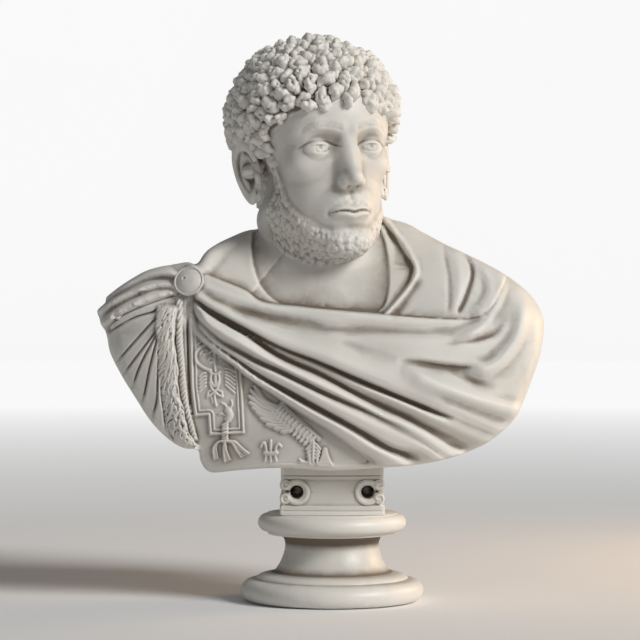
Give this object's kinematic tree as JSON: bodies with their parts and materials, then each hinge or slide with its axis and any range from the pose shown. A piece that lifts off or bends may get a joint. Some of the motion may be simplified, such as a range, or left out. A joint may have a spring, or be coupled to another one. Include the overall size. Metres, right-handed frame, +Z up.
{
  "type": "roman emperor bust",
  "caption": "White marble portrait bust of a bearded Roman emperor in cuirass and pinned cloak, carved with its index tablet, on a turned round socle",
  "frame": {"origin": "centre of the socle's flat underside", "axes": "+Z up, -Y the way the bust faces, +X to the viewer's right"},
  "size_m": [0.5625, 0.2673, 0.7144],
  "materials": {
    "carved marble": "honed white marble with faint grey veins and warm patina",
    "turned marble": "turned and polished white marble"
  },
  "bodies": {
    "root": {"bust": "carved marble", "socle": "turned marble"}
  },
  "joints": []
}
